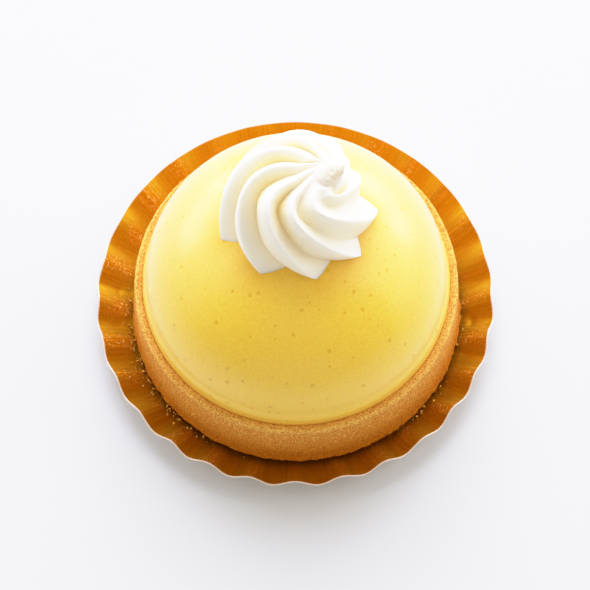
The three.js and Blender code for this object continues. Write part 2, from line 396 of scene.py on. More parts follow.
# %% [markdown]
# No finish on food or foil is one flat colour. Each is a blend that some noise steers, so a few
# helpers say just that: a grain of a given size in metres, a ramp that picks a stretch of its values,
# a blend of two colours, and a relief of a given depth. Node groups would do the same, but a function
# shows its values where it is called.

# %% Helpers for finishes
MIX_FROM, MIX_TO, MIX_RESULT = 6, 7, 2  # the sockets of a Mix node that are for colours


def stored(tree, name):
    """The number that was painted on the mesh under that name."""
    return add(tree, "ShaderNodeAttribute", attribute_name=name).outputs["Fac"]


def grain(tree, place, size, detail=2.0, roughness=0.5):
    """Noise with lumps of that size in metres."""
    inputs = {"Vector": place, "Scale": 1 / size, "Detail": detail, "Roughness": roughness}
    return add(tree, "ShaderNodeTexNoise", inputs).outputs["Fac"]


def ramp(tree, value, low, high, to_low=0.0, to_high=1.0):
    """The value's stretch from low to high, spread over another range and held at its ends."""
    inputs = {"Value": value, "From Min": low, "From Max": high, "To Min": to_low, "To Max": to_high}
    return add(tree, "ShaderNodeMapRange", inputs).outputs["Result"]


def worked(tree, operation, one, two):
    """Two numbers added, subtracted or multiplied."""
    return add(tree, "ShaderNodeMath", {0: one, 1: two}, operation=operation).outputs[0]


def blend(tree, amount, one, two):
    """Colour that goes from one to two as the amount goes from 0 to 1."""
    mix = add(tree, "ShaderNodeMix", {"Factor": amount}, data_type="RGBA")
    for socket, value in ((mix.inputs[MIX_FROM], one), (mix.inputs[MIX_TO], two)):
        if isinstance(value, bpy.types.NodeSocket):
            tree.links.new(value, socket)
        else:
            socket.default_value = value
    return mix.outputs[MIX_RESULT]


def relief(tree, height, depth, strength=1.0, below=None):
    """Bump of that depth in metres from a height between 0 and 1."""
    inputs = {"Height": height, "Distance": depth, "Strength": strength}
    if below is not None:
        inputs["Normal"] = below
    return add(tree, "ShaderNodeBump", inputs).outputs["Normal"]


def join(tree, shader, **inputs):
    """Link node outputs to the shader's sockets, named with _ for each space."""
    for name, output in inputs.items():
        tree.links.new(output, shader.inputs[name.replace("_", " ")])


print("finish helpers ready")

# %% [markdown]
# Foil is a metal, so nearly all of its look comes from what it mirrors. It is never quite even:
# rolling leaves fine dull streaks that run outwards. Where the ridges were rubbed, the foil is duller
# and more orange, and painted glints sit on them as bright scratches and pale specks. An anisotropic
# shader could fake the streaks, but noise that is stretched along the radius gives real ones. The
# direction from the middle, rather than an angle, goes into that noise, so that no seam shows where
# the circle closes.

# %% Gold foil
STREAKS_AROUND = 100
STREAKS_ALONG = 100
DARK_GOLD = seen(186, 144, 14)
LIGHT_GOLD = seen(229, 188, 47)
STREAK_GOLD = seen(150, 100, 2)
RUBBED_GOLD = seen(212, 148, 12)
SCRATCH_GLINT_GOLD = seen(250, 196, 56)
SPECK_GLINT_GOLD = seen(255, 236, 150)


def outward_streaks(tree, place):
    """Coordinates that change fast around the card and slowly along its radius."""
    def vector(operation, inputs):
        return add(tree, "ShaderNodeVectorMath", inputs, operation=operation)
    flat = vector("MULTIPLY", {0: place, 1: (1, 1, 0)}).outputs[0]
    length = vector("LENGTH", {0: flat}).outputs["Value"]
    way = vector("NORMALIZE", {0: flat}).outputs[0]
    around = vector("SCALE", {0: way, "Scale": STREAKS_AROUND}).outputs[0]
    along = worked(tree, "MULTIPLY", length, STREAKS_ALONG)
    rise = add(tree, "ShaderNodeCombineXYZ", {"Z": along}).outputs[0]
    return vector("ADD", {0: around, 1: rise}).outputs[0]


def gold_foil():
    """Rolled foil, rubbed along its ridges, with painted glints as scratches and specks."""
    material, tree, shader, place = fresh_material("gold_foil")
    ridge = stored(tree, "ridge")
    streaks = grain(tree, outward_streaks(tree, place), size=1.0, detail=4.0, roughness=0.6)
    patches = ramp(tree, grain(tree, place, size=9 * MM), low=0.36, high=0.54)
    rubbed = worked(tree, "MULTIPLY", patches, ridge)
    # Painted glints: bright scratches and pale specks on the rubbed ridges.
    glint_scratches = worked(tree, "MULTIPLY", ramp(tree, streaks, low=0.50, high=0.68), rubbed)
    dots = ramp(tree, grain(tree, place, size=0.5 * MM), low=0.58, high=0.66)
    glint_specks = worked(tree, "MULTIPLY", dots, rubbed)
    mottle = grain(tree, place, size=0.4 * MM, detail=3.0, roughness=0.7)
    gold = blend(tree, mottle, DARK_GOLD, LIGHT_GOLD)
    dull_streaks = ramp(tree, streaks, low=0.40, high=0.60, to_low=0.22, to_high=0.0)
    rolled = blend(tree, dull_streaks, gold, STREAK_GOLD)
    worn = blend(tree, rubbed, rolled, RUBBED_GOLD)
    glint_scratched = blend(tree, glint_scratches, worn, SCRATCH_GLINT_GOLD)
    colour = blend(tree, glint_specks, glint_scratched, SPECK_GLINT_GOLD)
    wear = worked(tree, "ADD", glint_specks, ridge)
    dullness = ramp(tree, wear, low=0.0, high=2.0, to_low=0.42, to_high=0.75)
    streaked = relief(tree, streaks, depth=0.10 * MM, strength=0.6)
    dents = grain(tree, place, size=1.6 * MM, detail=3.0, roughness=0.6)
    dented = relief(tree, dents, depth=0.06 * MM, strength=0.5, below=streaked)
    set_even(shader, Metallic=1.0)
    join(tree, shader, Base_Color=colour, Roughness=dullness, Normal=dented)
    return material


foil = gold_foil()
print("made", foil.name)

# %% [markdown]
# The cut edge and the underside show the card's plain board, a dry and fibrous cream white. It could
# share the foil's tree with a mask, but two slots on one mesh keep both finishes simple. Dressing is
# the same for each piece: it gets its materials, hides the solid it stands for, and is tied to the
# frame.

# %% Board, and the card dressed
DARK_FIBRE = seen(228, 206, 184)
LIGHT_FIBRE = seen(246, 228, 208)


def plain_board():
    """Uncoated board."""
    material, tree, shader, place = fresh_material("plain_board")
    fibre = grain(tree, place, size=0.5 * MM, detail=4.0)
    colour = blend(tree, fibre, DARK_FIBRE, LIGHT_FIBRE)
    set_even(shader, Roughness=0.85)
    join(tree, shader, Base_Color=colour, Normal=relief(tree, fibre, depth=0.04 * MM))
    return material


def finish_piece(piece, slot, materials, *replaced):
    """Dress a piece and tie it to the frame."""
    for material in materials:
        piece.data.materials.append(material)
    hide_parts(*replaced)
    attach(piece, "root")
    print(piece.name, "has", len(piece.data.polygons), "faces")


finish_piece(card, "gold_foil_card", [foil, plain_board()], "gold_card")

# %% [markdown]
# The shell is rolled dough baked in a ring, so its wall is upright, its top edge was cut level and
# then browned round, and its foot is rounded. Its section is a short list of lines and arcs: along the
# base, up the wall, over the crest and down inside. A bevelled cylinder could give the same form, but
# a section has many rows where the crust shows and few where it is hidden.

# %% Shell section
SHELL_TOP_INSET = 0.9 * MM
SHELL_WALL = 1.9 * MM
SHELL_FLOOR = 3.0 * MM
BASE_RING = 20 * MM
CREST_ROUND = 0.55 * MM
CREST_SWEEP = 100
CREST_FLAT = (0.2 * MM, 0.04 * MM)
BEVEL_DROP = 0.4 * MM
FOOT_ROUND = 1.8 * MM
BASE_STEPS, FOOT_STEPS, WALL_STEPS, CREST_STEPS, INNER_STEPS = 8, 5, 60, 7, 6


def arc(middle, radius, start, stop, count):
    """Points of a round corner as (distance from the axis, height)."""
    turn = np.radians(np.linspace(start, stop, count))
    return [(middle[0] + radius * math.cos(t), middle[1] + radius * math.sin(t)) for t in turn]


def line(one, two, count):
    """Points from one to two, without the last."""
    return [tuple(np.array(one) + (np.array(two) - one) * part) for part in np.arange(count) / count]


shell_crest = shell_foot - SHELL_TOP_INSET
shell_inner = shell_crest - SHELL_WALL
shell_height = shell_top - shell_base
foot_corner = (shell_foot - FOOT_ROUND, FOOT_ROUND)
crest_corner = (shell_crest - CREST_ROUND, shell_height - CREST_ROUND)
crest_end = (crest_corner[0] - CREST_FLAT[0], shell_height - CREST_FLAT[1])
bevel_foot = (shell_inner, shell_height - BEVEL_DROP)
inner_foot = (shell_inner, SHELL_FLOOR)
shell_section = (
    line((BASE_RING, 0), (foot_corner[0], 0), BASE_STEPS)
    + arc(foot_corner, FOOT_ROUND, -90, 0, FOOT_STEPS)
    + line((shell_foot, FOOT_ROUND), (shell_crest, crest_corner[1]), WALL_STEPS)[1:]
    + arc(crest_corner, CREST_ROUND, 0, CREST_SWEEP, CREST_STEPS)
    + line(crest_end, bevel_foot, INNER_STEPS)
    + line(bevel_foot, inner_foot, INNER_STEPS)
    + [inner_foot]
)
print("shell section has", len(shell_section), "points")

# %% [markdown]
# Relief is pushed out along the surface, so the outward direction has to be known at each point.
# Blender works such normals out for a mesh, but a grid gives them before there is one: the direction
# to the next column, crossed with the direction to the next row. Two more helpers spread a row's
# value over its columns and put rings about the tart's axis.

# %% Helpers for relief
LEAST_LENGTH = 1e-12


def every_column(row_values, columns):
    """One value per row, repeated for all columns."""
    return np.repeat(row_values[:, None], columns, 1)


def around_tart(distance, height, columns):
    """Rings about the tart's axis."""
    angles = circle(columns)
    x = tart_x + distance[:, None] * np.cos(angles)
    y = tart_y + distance[:, None] * np.sin(angles)
    return np.stack([x, y, every_column(height, columns)], -1)


def normals(grid):
    """Outward direction at each point of a grid of rings."""
    around = np.roll(grid, -1, axis=1) - np.roll(grid, 1, axis=1)
    along = np.gradient(grid, axis=0)
    out = np.cross(around, along)
    return out / np.maximum(np.linalg.norm(out, axis=-1, keepdims=True), LEAST_LENGTH)


print("relief helpers ready")

# %% [markdown]
# Shortcrust is sandy: lumps of about half a millimetre on slow, larger swells, and a ragged foot where
# the dough met the tray. A bump map alone would leave the outline smooth, so this is real relief: the
# plain rings are pushed out along the surface by noise of three sizes. The hidden inside stays plain,
# because the filling lies against it.

# %% Shell mesh
SHELL_COLUMNS = 960
SAND_SIZE, SAND_PUSH = 0.6 * MM, 0.12 * MM
SWELL_SIZE, SWELL_PUSH = 5 * MM, 0.10 * MM
RAGGED_SIZE, RAGGED_OCTAVES = 1.6 * MM, 3.0
FOOT_BULGE, FOOT_RAGGED, BULGE_REACH = 0.35 * MM, 0.30 * MM, 1.0 * MM
FOOT_LIFT, LIFT_REACH = 0.22 * MM, 0.8 * MM
INSIDE_MARGIN = 0.1 * MM

distance, climb = np.array(shell_section).T
plain = around_tart(distance, shell_base + climb, SHELL_COLUMNS)
sand = rough(plain, SAND_SIZE)
swell = rough(plain, SWELL_SIZE)
ragged = rough(plain, RAGGED_SIZE, RAGGED_OCTAVES)
bulge = np.exp(-((climb - FOOT_ROUND) / BULGE_REACH) ** 2)[:, None]
push = SAND_PUSH * sand + SWELL_PUSH * swell + bulge * (FOOT_BULGE + FOOT_RAGGED * ragged)
outside = (distance > shell_inner + INSIDE_MARGIN)[:, None]
shell_grid = plain + normals(plain) * (push * outside)[..., None]
foot_lift = FOOT_LIFT * np.exp(-climb / LIFT_REACH)[:, None] * np.clip(ragged, 0, 1)
shell_grid[..., 2] = np.maximum(shell_grid[..., 2] + foot_lift, shell_base)
base_middle = (tart_x, tart_y, shell_base)
floor_middle = (tart_x, tart_y, shell_base + SHELL_FLOOR)
shell = skin("shortcrust_shell", shell_grid, base_middle, floor_middle)
paint(shell, "sand", sand, 0.0, 0.0)
paint(shell, "climb", every_column(climb / shell_height, SHELL_COLUMNS), 0.0, 0.0)
print("sand runs from", round(sand.min(), 2), "to", round(sand.max(), 2))

# %% [markdown]
# Baked shortcrust is golden. Towards the foot it is darker and more orange, which is painted shade
# and a painted reflection of the gold card, with a band of painted shade where the foot meets the
# tray, and its cut crest has a painted highlight. The relief and the height are stored with the mesh,
# so the material can paint shade into the hollows between the lumps and follow the height. A picture
# could be wrapped round it instead, but then lumps and colour would not agree. A fine second grain
# adds what is too small for the mesh: dark pores and pale, floury grains, which are also painted
# darker towards the foot.

# %% Shell finish
WALL_LOW_SHADED = seen(204, 116, 0)
WALL_HIGH = seen(228, 152, 54)
FOOT_SHADE = seen(96, 40, 8)
CREST_HIGHLIGHT = seen(252, 196, 92)
BROWNED = seen(216, 130, 20)
HOLLOW_SHADE = seen(198, 108, 8)
PORE = seen(184, 92, 2)
FLOUR_LOW_SHADED = seen(242, 158, 4)
FLOUR_HIGH = seen(255, 216, 112)
CRUST_SHEEN = seen(255, 232, 180)


def shortcrust():
    """Sandy baked crust."""
    material, tree, shader, place = fresh_material("baked_shortcrust")
    height = stored(tree, "climb")
    fine = grain(tree, place, size=0.32 * MM, detail=3.0, roughness=0.65)
    cloud = grain(tree, place, size=7 * MM)
    # Painted shade and painted reflection of the gold: the wall is darker and more orange towards the
    # foot.
    wall = blend(tree, ramp(tree, height, low=0.05, high=0.8), WALL_LOW_SHADED, WALL_HIGH)
    # Painted shade: a dark band where the foot meets the tray.
    foot_shaded = blend(tree, ramp(tree, height, low=0.03, high=0.10), FOOT_SHADE, wall)
    # Painted highlight: the cut crest is paler.
    crest_lit = blend(tree, ramp(tree, height, low=0.92, high=0.98), foot_shaded, CREST_HIGHLIGHT)
    browned = blend(tree, ramp(tree, cloud, low=0.35, high=0.75, to_high=0.3), crest_lit, BROWNED)
    # Painted shade: the hollows between the lumps are darker.
    lump = ramp(tree, stored(tree, "sand"), low=-0.5, high=0.3, to_low=0.5)
    hollow_shaded = blend(tree, lump, HOLLOW_SHADE, browned)
    porous = blend(tree, ramp(tree, fine, low=0.36, high=0.48, to_low=0.15), PORE, hollow_shaded)
    # The flour grains get the same painted shade towards the foot.
    flour = blend(tree, ramp(tree, height, low=0.1, high=0.9), FLOUR_LOW_SHADED, FLOUR_HIGH)
    colour = blend(tree, ramp(tree, fine, low=0.53, high=0.62, to_high=0.9), porous, flour)
    set_even(shader, Roughness=0.7, Specular_IOR_Level=0.2)
    set_even(shader, Sheen_Weight=0.03, Sheen_Roughness=0.5, Sheen_Tint=CRUST_SHEEN)
    join(tree, shader, Base_Color=colour, Normal=relief(tree, fine, depth=0.22 * MM, strength=0.9))
    return material


crust = shortcrust()
finish_piece(shell, "shortcrust", [crust], "pastry_shell")

# %% [markdown]
# The filling is lemon cream set in a mould, so its dome is even. Where it sits on the rim it spread
# into a low bead. The section is a plug inside the shell, that bead and a flattened half ball. A
# sphere could be scaled to fit, but its rows would crowd at the top and miss the bead. The band down
# in the crevice by the crust gets a slot of its own, with painted shade. Two numbers stored on the
# mesh steer the rest of the finish: a yellower ring above the bead, which is painted light from the
# bright table, and a painted sheen that makes the glaze paler towards the back.

# %% Filling shape
FILLING_COLUMNS = 400
DOME_RADIUS = 36.3 * MM
DOME_FLOOR = 20.0 * MM
DOME_ROUNDNESS = 2.1
DOME_ROWS = 90
DOME_LAP = 0.15 * MM
BEAD = 1.0 * MM
BEAD_HEIGHT = 18.95 * MM
BEAD_RADIUS = 37.15 * MM
BEAD_SWEEP, BEAD_STEPS = (-10, 60), 12
PLUG_RADIUS = 37.3 * MM
PLUG_DROP, PLUG_STEPS = 0.7 * MM, 5
WAVER_SIZE, WAVER_DEPTH = 9 * MM, 0.05 * MM
CREVICE_BAND_HEIGHT = 0.8 * MM
RING_TOP, RING_FADE = 10 * MM, 8 * MM
SHEEN_PAINT_START, SHEEN_PAINT_FADE, SHEEN_PAINT_ON_TOP = -0.5, 0.6, 0.8
GLAZED, CREVICE_BAND = 0, 1


def dome_height(distance):
    """Height of the dome at a distance from the tart's axis."""
    inner = 1 - np.clip(distance / DOME_RADIUS, 0, 1) ** DOME_ROUNDNESS
    return DOME_FLOOR + (dome_top - DOME_FLOOR) * inner ** (1 / DOME_ROUNDNESS)


dome_distance = (DOME_RADIUS - DOME_LAP) * np.cos(np.linspace(0, math.pi / 2, DOME_ROWS)[:-1])
filling_section = (
    line((PLUG_RADIUS, filling_low.z), (PLUG_RADIUS, shell_top - PLUG_DROP), PLUG_STEPS)
    + arc((BEAD_RADIUS - BEAD, BEAD_HEIGHT), BEAD, *BEAD_SWEEP, BEAD_STEPS)
    + list(zip(dome_distance, dome_height(dome_distance)))
)
distance, height = np.array(filling_section).T
plain = around_tart(distance, height, FILLING_COLUMNS)
waver = WAVER_DEPTH * rough(plain, WAVER_SIZE)
filling_grid = plain + normals(plain) * waver[..., None]
# The lowest rows, down in the crevice, get the band with painted shade.
row_finish = np.where(height[:-1] < BEAD_HEIGHT + CREVICE_BAND_HEIGHT, CREVICE_BAND, GLAZED)
plug_middle = (tart_x, tart_y, filling_low.z)
filling = skin("lemon_dome", filling_grid, plug_middle, (tart_x, tart_y, dome_top), row_finish)
# Painted light: a yellower, brighter ring on the lower dome, for the bright table that it mirrors.
ring = np.clip((BEAD_HEIGHT + RING_TOP - height) / RING_FADE, 0, 1)
paint(filling, "foot", every_column(ring, FILLING_COLUMNS), 1.0, 0.0)
# Painted sheen: a number that grows towards the back of the dome and pales the glaze there.
behind = (filling_grid[..., 1] - tart_y) / DOME_RADIUS
paint(filling, "painted_back_sheen", np.clip((behind - SHEEN_PAINT_START) / SHEEN_PAINT_FADE, 0, 1), SHEEN_PAINT_ON_TOP, SHEEN_PAINT_ON_TOP)
print("dome rises in mm:", round((dome_top - BEAD_HEIGHT) / MM, 1))

# %% [markdown]
# Air that was trapped in the mould leaves tiny pits of deeper yellow in the filling. They could be cut
# into the mesh, but they are finer than its rows. So cells of a Voronoi pattern place them: one round
# pit in most of the cells, each with a size of its own, down to nothing.

# %% Pits in the filling
PIT_CELL = 2.0 * MM
PIT_RADIUS = 0.66 * MM
PIT_EDGE = 0.09
PIT_SCATTER = 0.9


def pits(tree, place):
    """Mask that is 1 in round pits, with none in about a third of the cells."""
    inputs = {"Vector": place, "Scale": 1 / PIT_CELL, "Randomness": PIT_SCATTER}
    cells = add(tree, "ShaderNodeTexVoronoi", inputs)
    draw = add(tree, "ShaderNodeSeparateColor", {"Color": cells.outputs["Color"]}).outputs[0]
    width = ramp(tree, draw, low=0.3, high=1.0, to_high=PIT_RADIUS / PIT_CELL)
    inside = worked(tree, "SUBTRACT", width, cells.outputs["Distance"])
    return ramp(tree, inside, low=0.0, high=PIT_EDGE)


print("pits reach at most", round(PIT_RADIUS / MM, 2), "mm from their middle")

# %% [markdown]
# Lemon cream lets light in a little way, so it glows softly at its edge and never turns grey in
# shade, and its glaze has a broad, soft shine. Two shells, one clear over one solid, could do that at
# the cost of noise. The Principled shader has it all in one: scattering below, a coat on top, and a
# sheen that pales the edges. The colour follows the numbers stored on the mesh, which paint a sheen
# towards the back, light on the ring above the bead and shade round the cream.

# %% Lemon cream
GLAZE_TONES = seen(243, 198, 44), seen(252, 212, 60)
PAINTED_SHEEN_TONES = seen(241, 188, 86), seen(251, 202, 102)
FOOT_RING_LIT = seen(250, 204, 46)
CREAM_SHADE = seen(238, 184, 0)
PIT = seen(230, 178, 0)
GLAZE_SHEEN = seen(255, 240, 204)


def lemon_cream():
    """Set cream under a glaze, with pits."""
    material, tree, shader, place = fresh_material("lemon_cream")
    mottle = grain(tree, place, size=0.6 * MM, detail=3.0)
    pitted = pits(tree, place)
    glaze_tone = blend(tree, ramp(tree, mottle, low=0.3, high=0.7), *GLAZE_TONES)
    # Painted sheen: the paler glaze tone towards the back.
    painted_back_sheen = blend(tree, ramp(tree, mottle, low=0.3, high=0.7), *PAINTED_SHEEN_TONES)
    body = blend(tree, stored(tree, "painted_back_sheen"), glaze_tone, painted_back_sheen)
    # Painted light from the bright table on the ring above the bead.
    lit_foot_ring = ramp(tree, stored(tree, "foot"), low=0.0, high=1.0, to_high=0.5)
    ringed = blend(tree, lit_foot_ring, body, FOOT_RING_LIT)
    # Painted shade round the foot of the rosette, deeper yellow.
    cream_shade_amount = ramp(tree, stored(tree, "shade_round_cream"), low=0.0, high=1.0, to_high=0.7)
    shaded_round_cream = blend(tree, cream_shade_amount, ringed, CREAM_SHADE)
    colour = blend(tree, pitted, shaded_round_cream, PIT)
    set_even(shader, Roughness=0.34, Specular_IOR_Level=0.25)
    set_even(shader, Subsurface_Weight=0.25, Subsurface_Scale=3 * MM)
    set_even(shader, Subsurface_Radius=(1.0, 0.6, 0.15))
    set_even(shader, Sheen_Weight=0.3, Sheen_Roughness=0.4, Sheen_Tint=GLAZE_SHEEN)
    set_even(shader, Coat_Weight=1.0, Coat_Roughness=0.3, Coat_IOR=1.45)
    smooth = relief(tree, mottle, depth=0.02 * MM, strength=0.5)
    sunk = ramp(tree, pitted, low=0.0, high=1.0, to_low=1.0, to_high=0.0)
    join(tree, shader, Base_Color=colour, Normal=relief(tree, sunk, depth=0.01 * MM, below=smooth))
    return material


glazed = lemon_cream()
print("made", glazed.name)

# %% [markdown]
# The lowest band of the filling lies down in the crevice by the crust. It is dull and patchy, and its
# colour, between cream and crumb, is painted warm shade. The cream's tree could hold it behind a mask,
# but the band hardly shines and lets no light in, so it is a material of its own in the second slot.

# %% Shaded crevice band, and the filling dressed
CREVICE_SHADE = seen(234, 176, 56), seen(246, 198, 82)


def shaded_crevice_band():
    """The dull band down in the crevice, in painted warm shade."""
    material, tree, shader, place = fresh_material("shaded_crevice_band")
    patchy = grain(tree, place, size=0.8 * MM, detail=3.0)
    set_even(shader, Roughness=0.8, Specular_IOR_Level=0.2)
    colour = blend(tree, patchy, *CREVICE_SHADE)
    join(tree, shader, Base_Color=colour, Normal=relief(tree, patchy, depth=0.05 * MM))
    return material


finish_piece(filling, "lemon_cream", [glazed, shaded_crevice_band()], "lemon_filling")

# %% [markdown]
# The rosette is one squeeze of whipped cream through a star nozzle. It could be sculpted, but a star
# with ridges and grooves says how it was piped. A hand spaces the ridges unevenly, so each of the ten
# has its own angle. Each groove has its own place between two ridges, given at four heights because it
# shifts as it climbs, and its own flanks: one falls away from a ridge, the other swells to the next.

# %% Star of the nozzle
RIDGE_COLUMNS = 32
RIDGE_ANGLES = np.radians([165, 205, 245, 284, 321, 361, 403, 433, 462, 491])
NOTCH_CLIMBS = (0.0, 0.08, 0.3, 0.6)
NOTCHES = [
    (0.40, 0.30, 0.20, 0.20),
    (0.28, 0.22, 0.36, 0.42),
    (0.45, 0.23, 0.20, 0.43),
    (0.43, 0.10, 0.10, 0.30),
    (0.27, 0.10, 0.18, 0.22),
    (0.28, 0.34, 0.50, 0.52),
    (0.40, 0.40, 0.45, 0.50),
    (0.45, 0.45, 0.45, 0.50),
    (0.45, 0.45, 0.45, 0.50),
    (0.45, 0.40, 0.35, 0.35),
]
FALL = [0.4, 0.4, 0.3, 0.3, -0.5, -0.9, -0.4, 0.0, 0.3, 0.5]
SWELL = [0.3, 0.3, 0.6, 0.2, -0.3, -0.3, -0.3, 0.0, 0.0, 0.0]
FLANK_CURVE = 1.5
ROUND_CLIMB = 0.06

ridges = np.arange(len(RIDGE_ANGLES))
own = np.repeat(ridges, RIDGE_COLUMNS)
following = (own + 1) % len(ridges)
across = np.tile(2 * np.arange(RIDGE_COLUMNS) / RIDGE_COLUMNS, len(ridges))


def star(climb):
    """How far each column stands towards the next ridge, and how far it dips, both from 0 to 1."""
    notches = [np.interp(climb[:, 0], NOTCH_CLIMBS, places) for places in NOTCHES]
    notch = np.stack(notches, -1)[:, own]
    between = np.where(across < 1, across * notch, notch + (across - 1) * (1 - notch))
    nearness = np.where(across < 1, across, 2 - across)
    bulge = np.where(across < 1, np.take(FALL, own), np.take(SWELL, own)) / 2
    flank = 1 - (1 - nearness ** (FLANK_CURVE + bulge)) ** (FLANK_CURVE - bulge)
    dips = nearness + (flank - nearness) * np.minimum(1, climb / ROUND_CLIMB)
    return between, dips


print("star has", len(ridges), "ridges and", len(own), "columns")

# %% [markdown]
# Each groove keeps its depth for most of the way up and then fades out, some of them early, where the
# cream closed over them. They could be cut with Booleans, but a groove has to start as a sharp notch
# and end as nothing. So its depth is one more number at each point. Its share of the full depth is
# kept too, because the finish tints the grooves by it.

# %% Grooves
GROOVE_FOOT = 3.4 * MM
GROOVE_HIGH = 3.8 * MM
GROOVE_CLIMB = 0.2
GROOVE_END = [0.85, 0.85, 0.85, 0.85, 0.83, 0.80, 0.86, 0.50, 0.55, 0.75]
GROOVE_SHARE = [0.9, 1.0, 1.0, 1.0, 0.8, 0.75, 0.85, 0.5, 0.5, 0.8]
GROOVE_FADE = 4.0


def grooves(climb, dips):
    """Depth of the grooves in metres, and as a share from 0 to 1."""
    share = dips * np.clip(1 - (climb / np.take(GROOVE_END, own)) ** GROOVE_FADE, 0, 1)
    high = np.take(GROOVE_SHARE, own) * GROOVE_HIGH
    deep = GROOVE_FOOT + (high - GROOVE_FOOT) * np.minimum(1, climb / GROOVE_CLIMB)
    return deep * share, share


print("grooves are up to", round(GROOVE_HIGH / MM, 1), "mm deep")

# %% [markdown]
# The nozzle turned while it was lifted, so the ridges wind up clockwise, fastest at the foot, and swirl
# once more near the top. A Simple Deform twist would turn every height alike. Here the angle of each
# column follows from its climb, and two of the ridges are a little askew just above the foot.

# %% Turn of the nozzle
PIPED_TURN = math.radians(123)
PIPED_EASE = 0.7
SWIRL_TURN = math.radians(110)
SWIRL_START = 0.7
SKEW = np.radians([0, 0, 0, 6, 4, 0, 0, 0, 0, 0])
SKEW_CLIMB = 0.12


def later(climb, start):
    """How much of the climb after the start is done, from 0 to 1."""
    return np.clip((climb - start) / (1 - start), 0, 1)


def turned(climb, between):
    """Angle of each column: its place in the star, turned as the nozzle turned."""
    skew = 1 - (1 - np.minimum(1, climb / SKEW_CLIMB)) ** 2
    start = np.take(RIDGE_ANGLES, own) + np.take(SKEW, own) * skew
    gap = (np.take(RIDGE_ANGLES, following) - np.take(RIDGE_ANGLES, own)) % (2 * math.pi)
    gap = gap + (np.take(SKEW, following) - np.take(SKEW, own)) * skew
    swirl = later(climb, SWIRL_START) ** 2
    return start + between * gap - PIPED_TURN * climb ** PIPED_EASE - SWIRL_TURN * swirl


print("ridges wind by", round(math.degrees(PIPED_TURN + SWIRL_TURN)), "degrees")

# %% [markdown]
# Then the nozzle was drawn off to the right, which left a small peak that leans over. The rings follow
# that: the star shrinks, turns and shifts as it climbs, and its foot lies on the dome. A tapered and
# twisted extrusion comes close, but it can't lean and bend over at the end as this peak does. Each
# ridge has its own reach, and each groove its own share of painted shade for the finish.

# %% Rings of the rosette
ROSETTE_X = tart_x + 0.27 * MM
ROSETTE_Y = tart_y + 6.85 * MM
ROSETTE_RADIUS = 19.2 * MM
ROSETTE_HEIGHT = 18.2 * MM
ROSETTE_SHOULDER = 5.4
RIDGE_REACH = [0.94, 1.0, 1.0, 1.01, 1.02, 1.0, 0.89, 0.83, 0.97, 1.02]
LEAST_CORE = 0.15
SEATED = -0.12 * MM
LEAN = (7.4 * MM, -3.0 * MM)
LEAN_BEND = 1.45
TAIL = (4.2 * MM, 3.0 * MM, 3.5 * MM)
TAIL_LEAN_START = 0.72
TAIL_START = 0.83
TAIL_POWER = 0.7
EDGE_CLIMB = 0.12
# Painted shade: how much warm shade each groove gets, and how it grows with the climb.
GROOVE_SHADING = [0.8, 1.0, 1.0, 1.0, 0.55, 0.5, 0.7, 0.3, 0.4, 0.7]
SHADE_AT_FOOT, SHADE_GAIN = 0.4, 1.3


def on_dome(x, y):
    """Height at which the cream rests on the dome, pressed into it a little."""
    return dome_height(np.hypot(x - tart_x, y - tart_y)) + SEATED


def piped(climb):
    """Rings of the rosette and how much painted shade its grooves get. Climb goes from 0 at the foot to
    1.
    """
    climb = climb[:, None]
    between, dips = star(climb)
    groove, share = grooves(climb, dips)
    turn = turned(climb, between)
    rise = ROSETTE_HEIGHT * (1 - (1 - climb) ** ROSETTE_SHOULDER)
    slope = ROSETTE_HEIGHT * ROSETTE_SHOULDER * (1 - climb) ** (ROSETTE_SHOULDER - 1)
    steep = np.hypot(slope, ROSETTE_RADIUS)
    reach = np.take(RIDGE_REACH, own)
    reach = reach + between * (np.take(RIDGE_REACH, following) - reach)
    radius = ROSETTE_RADIUS * (1 - climb) * (1 + (reach - 1) * (1 - climb)) - groove * slope / steep
    radius = np.maximum(radius, LEAST_CORE * ROSETTE_RADIUS * (1 - climb))
    lean = climb ** LEAN_BEND
    bent = later(climb, TAIL_LEAN_START)
    drawn_up = TAIL[2] * later(climb, TAIL_START) ** TAIL_POWER
    x = ROSETTE_X + LEAN[0] * lean + TAIL[0] * bent + radius * np.cos(turn)
    y = ROSETTE_Y + LEAN[1] * lean + TAIL[1] * bent + radius * np.sin(turn)
    sunk = groove * ROSETTE_RADIUS / steep * np.minimum(1, climb / EDGE_CLIMB)
    z = on_dome(x, y) + rise + drawn_up - sunk
    # Painted shade: how much warm shade each point of a groove gets.
    groove_shade = share * np.take(GROOVE_SHADING, own) * np.minimum(1, SHADE_AT_FOOT + SHADE_GAIN * climb)
    return np.stack([x, y, z], -1), groove_shade


print("rosette stands in mm:", round(ROSETTE_X / MM, 2), round(ROSETTE_Y / MM, 2))

# %% [markdown]
# The mesh is closed below by rings that lie on the dome. Cream from a bag is never quite smooth, and
# where the nozzle tore away its tip is ragged. A Displace modifier could roughen it, but here the tip
# needs more than the rest, so two noises are added along the surface. The same mark on the tip also
# steers painted shade in the finish. The rows crowd towards the foot, where the ridges are sharpest.

# %% Rosette mesh
ROSETTE_ROWS = 170
ROW_CROWDING = 1.4
LAST_CLIMB = 0.98
UNDER_RINGS = np.linspace(0.1, 0.95, 8)
SOFT_SIZE, SOFT_DEPTH = 1.8 * MM, 0.06 * MM
TORN_START, TORN_FULL = 0.80, 0.90
TORN_SIZE, TORN_DEPTH = 1.0 * MM, 0.22 * MM
TIP = (0.1 * MM, 0, 0.2 * MM)

